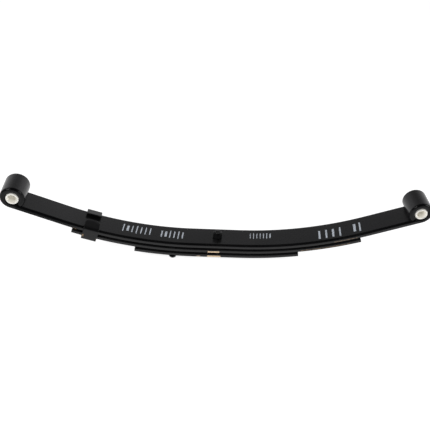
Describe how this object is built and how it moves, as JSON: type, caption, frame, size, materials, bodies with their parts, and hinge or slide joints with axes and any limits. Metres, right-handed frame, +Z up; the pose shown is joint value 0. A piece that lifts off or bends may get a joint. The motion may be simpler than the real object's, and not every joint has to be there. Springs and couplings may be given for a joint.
{
  "type": "leaf spring",
  "caption": "Multi-leaf trailer suspension spring with rolled eyes, plastic eye bushings, a centre bolt and a riveted rebound clip, black painted.",
  "frame": {"origin": "on the centre bolt's axis, at the underside of its head, the lowest point", "axes": "+X along the spring from the front eye, beside the rebound clip, to the rear eye; +Y across the leaves, +Z up, square to the seat"},
  "size_m": [0.6796, 0.0516, 0.1324],
  "materials": {
    "leaf_paint": "satin",
    "hardware_paint": "satin",
    "clip_paint": "satin",
    "nylon": "smooth moulded"
  },
  "bodies": {
    "leaf_pack": {"main_leaf": "leaf_paint", "second_leaf": "leaf_paint", "third_leaf": "leaf_paint", "center_bolt": "hardware_paint", "center_nut": "hardware_paint", "third_leaf_rivet": "hardware_paint"},
    "front_eye": {"front_bushing": "nylon"},
    "rear_eye": {"rear_bushing": "nylon"},
    "clip": {"rebound_clip": "clip_paint", "rebound_clip_rivet": "hardware_paint"}
  },
  "joints": [
    {"name": "front_flex", "type": "hinge", "parent": "leaf_pack", "child": "front_eye", "pos_m": [-0.07, 0, 0.03104], "axis": [0, -1, 0], "range_deg": [-2, 11.3], "stiffness_Nm_per_rad": 10700, "deforming": ["main_leaf", "second_leaf", "third_leaf"]},
    {"name": "rear_flex", "type": "hinge", "parent": "leaf_pack", "child": "rear_eye", "pos_m": [0.07, 0, 0.03104], "axis": [0, 1, 0], "range_deg": [-2, 11.3], "stiffness_Nm_per_rad": 10700, "deforming": ["main_leaf", "second_leaf", "third_leaf"]},
    {"name": "clip_follow", "type": "hinge", "parent": "leaf_pack", "child": "clip", "pos_m": [-0.137, 0, 0.04016], "axis": [0, -1, 0], "range_deg": [-2.8, 15.7], "deforming": ["main_leaf", "second_leaf"]}
  ],
  "couplings": [
    {"joint": "clip_follow", "follows": "front_flex", "ratio": 1.384}
  ]
}
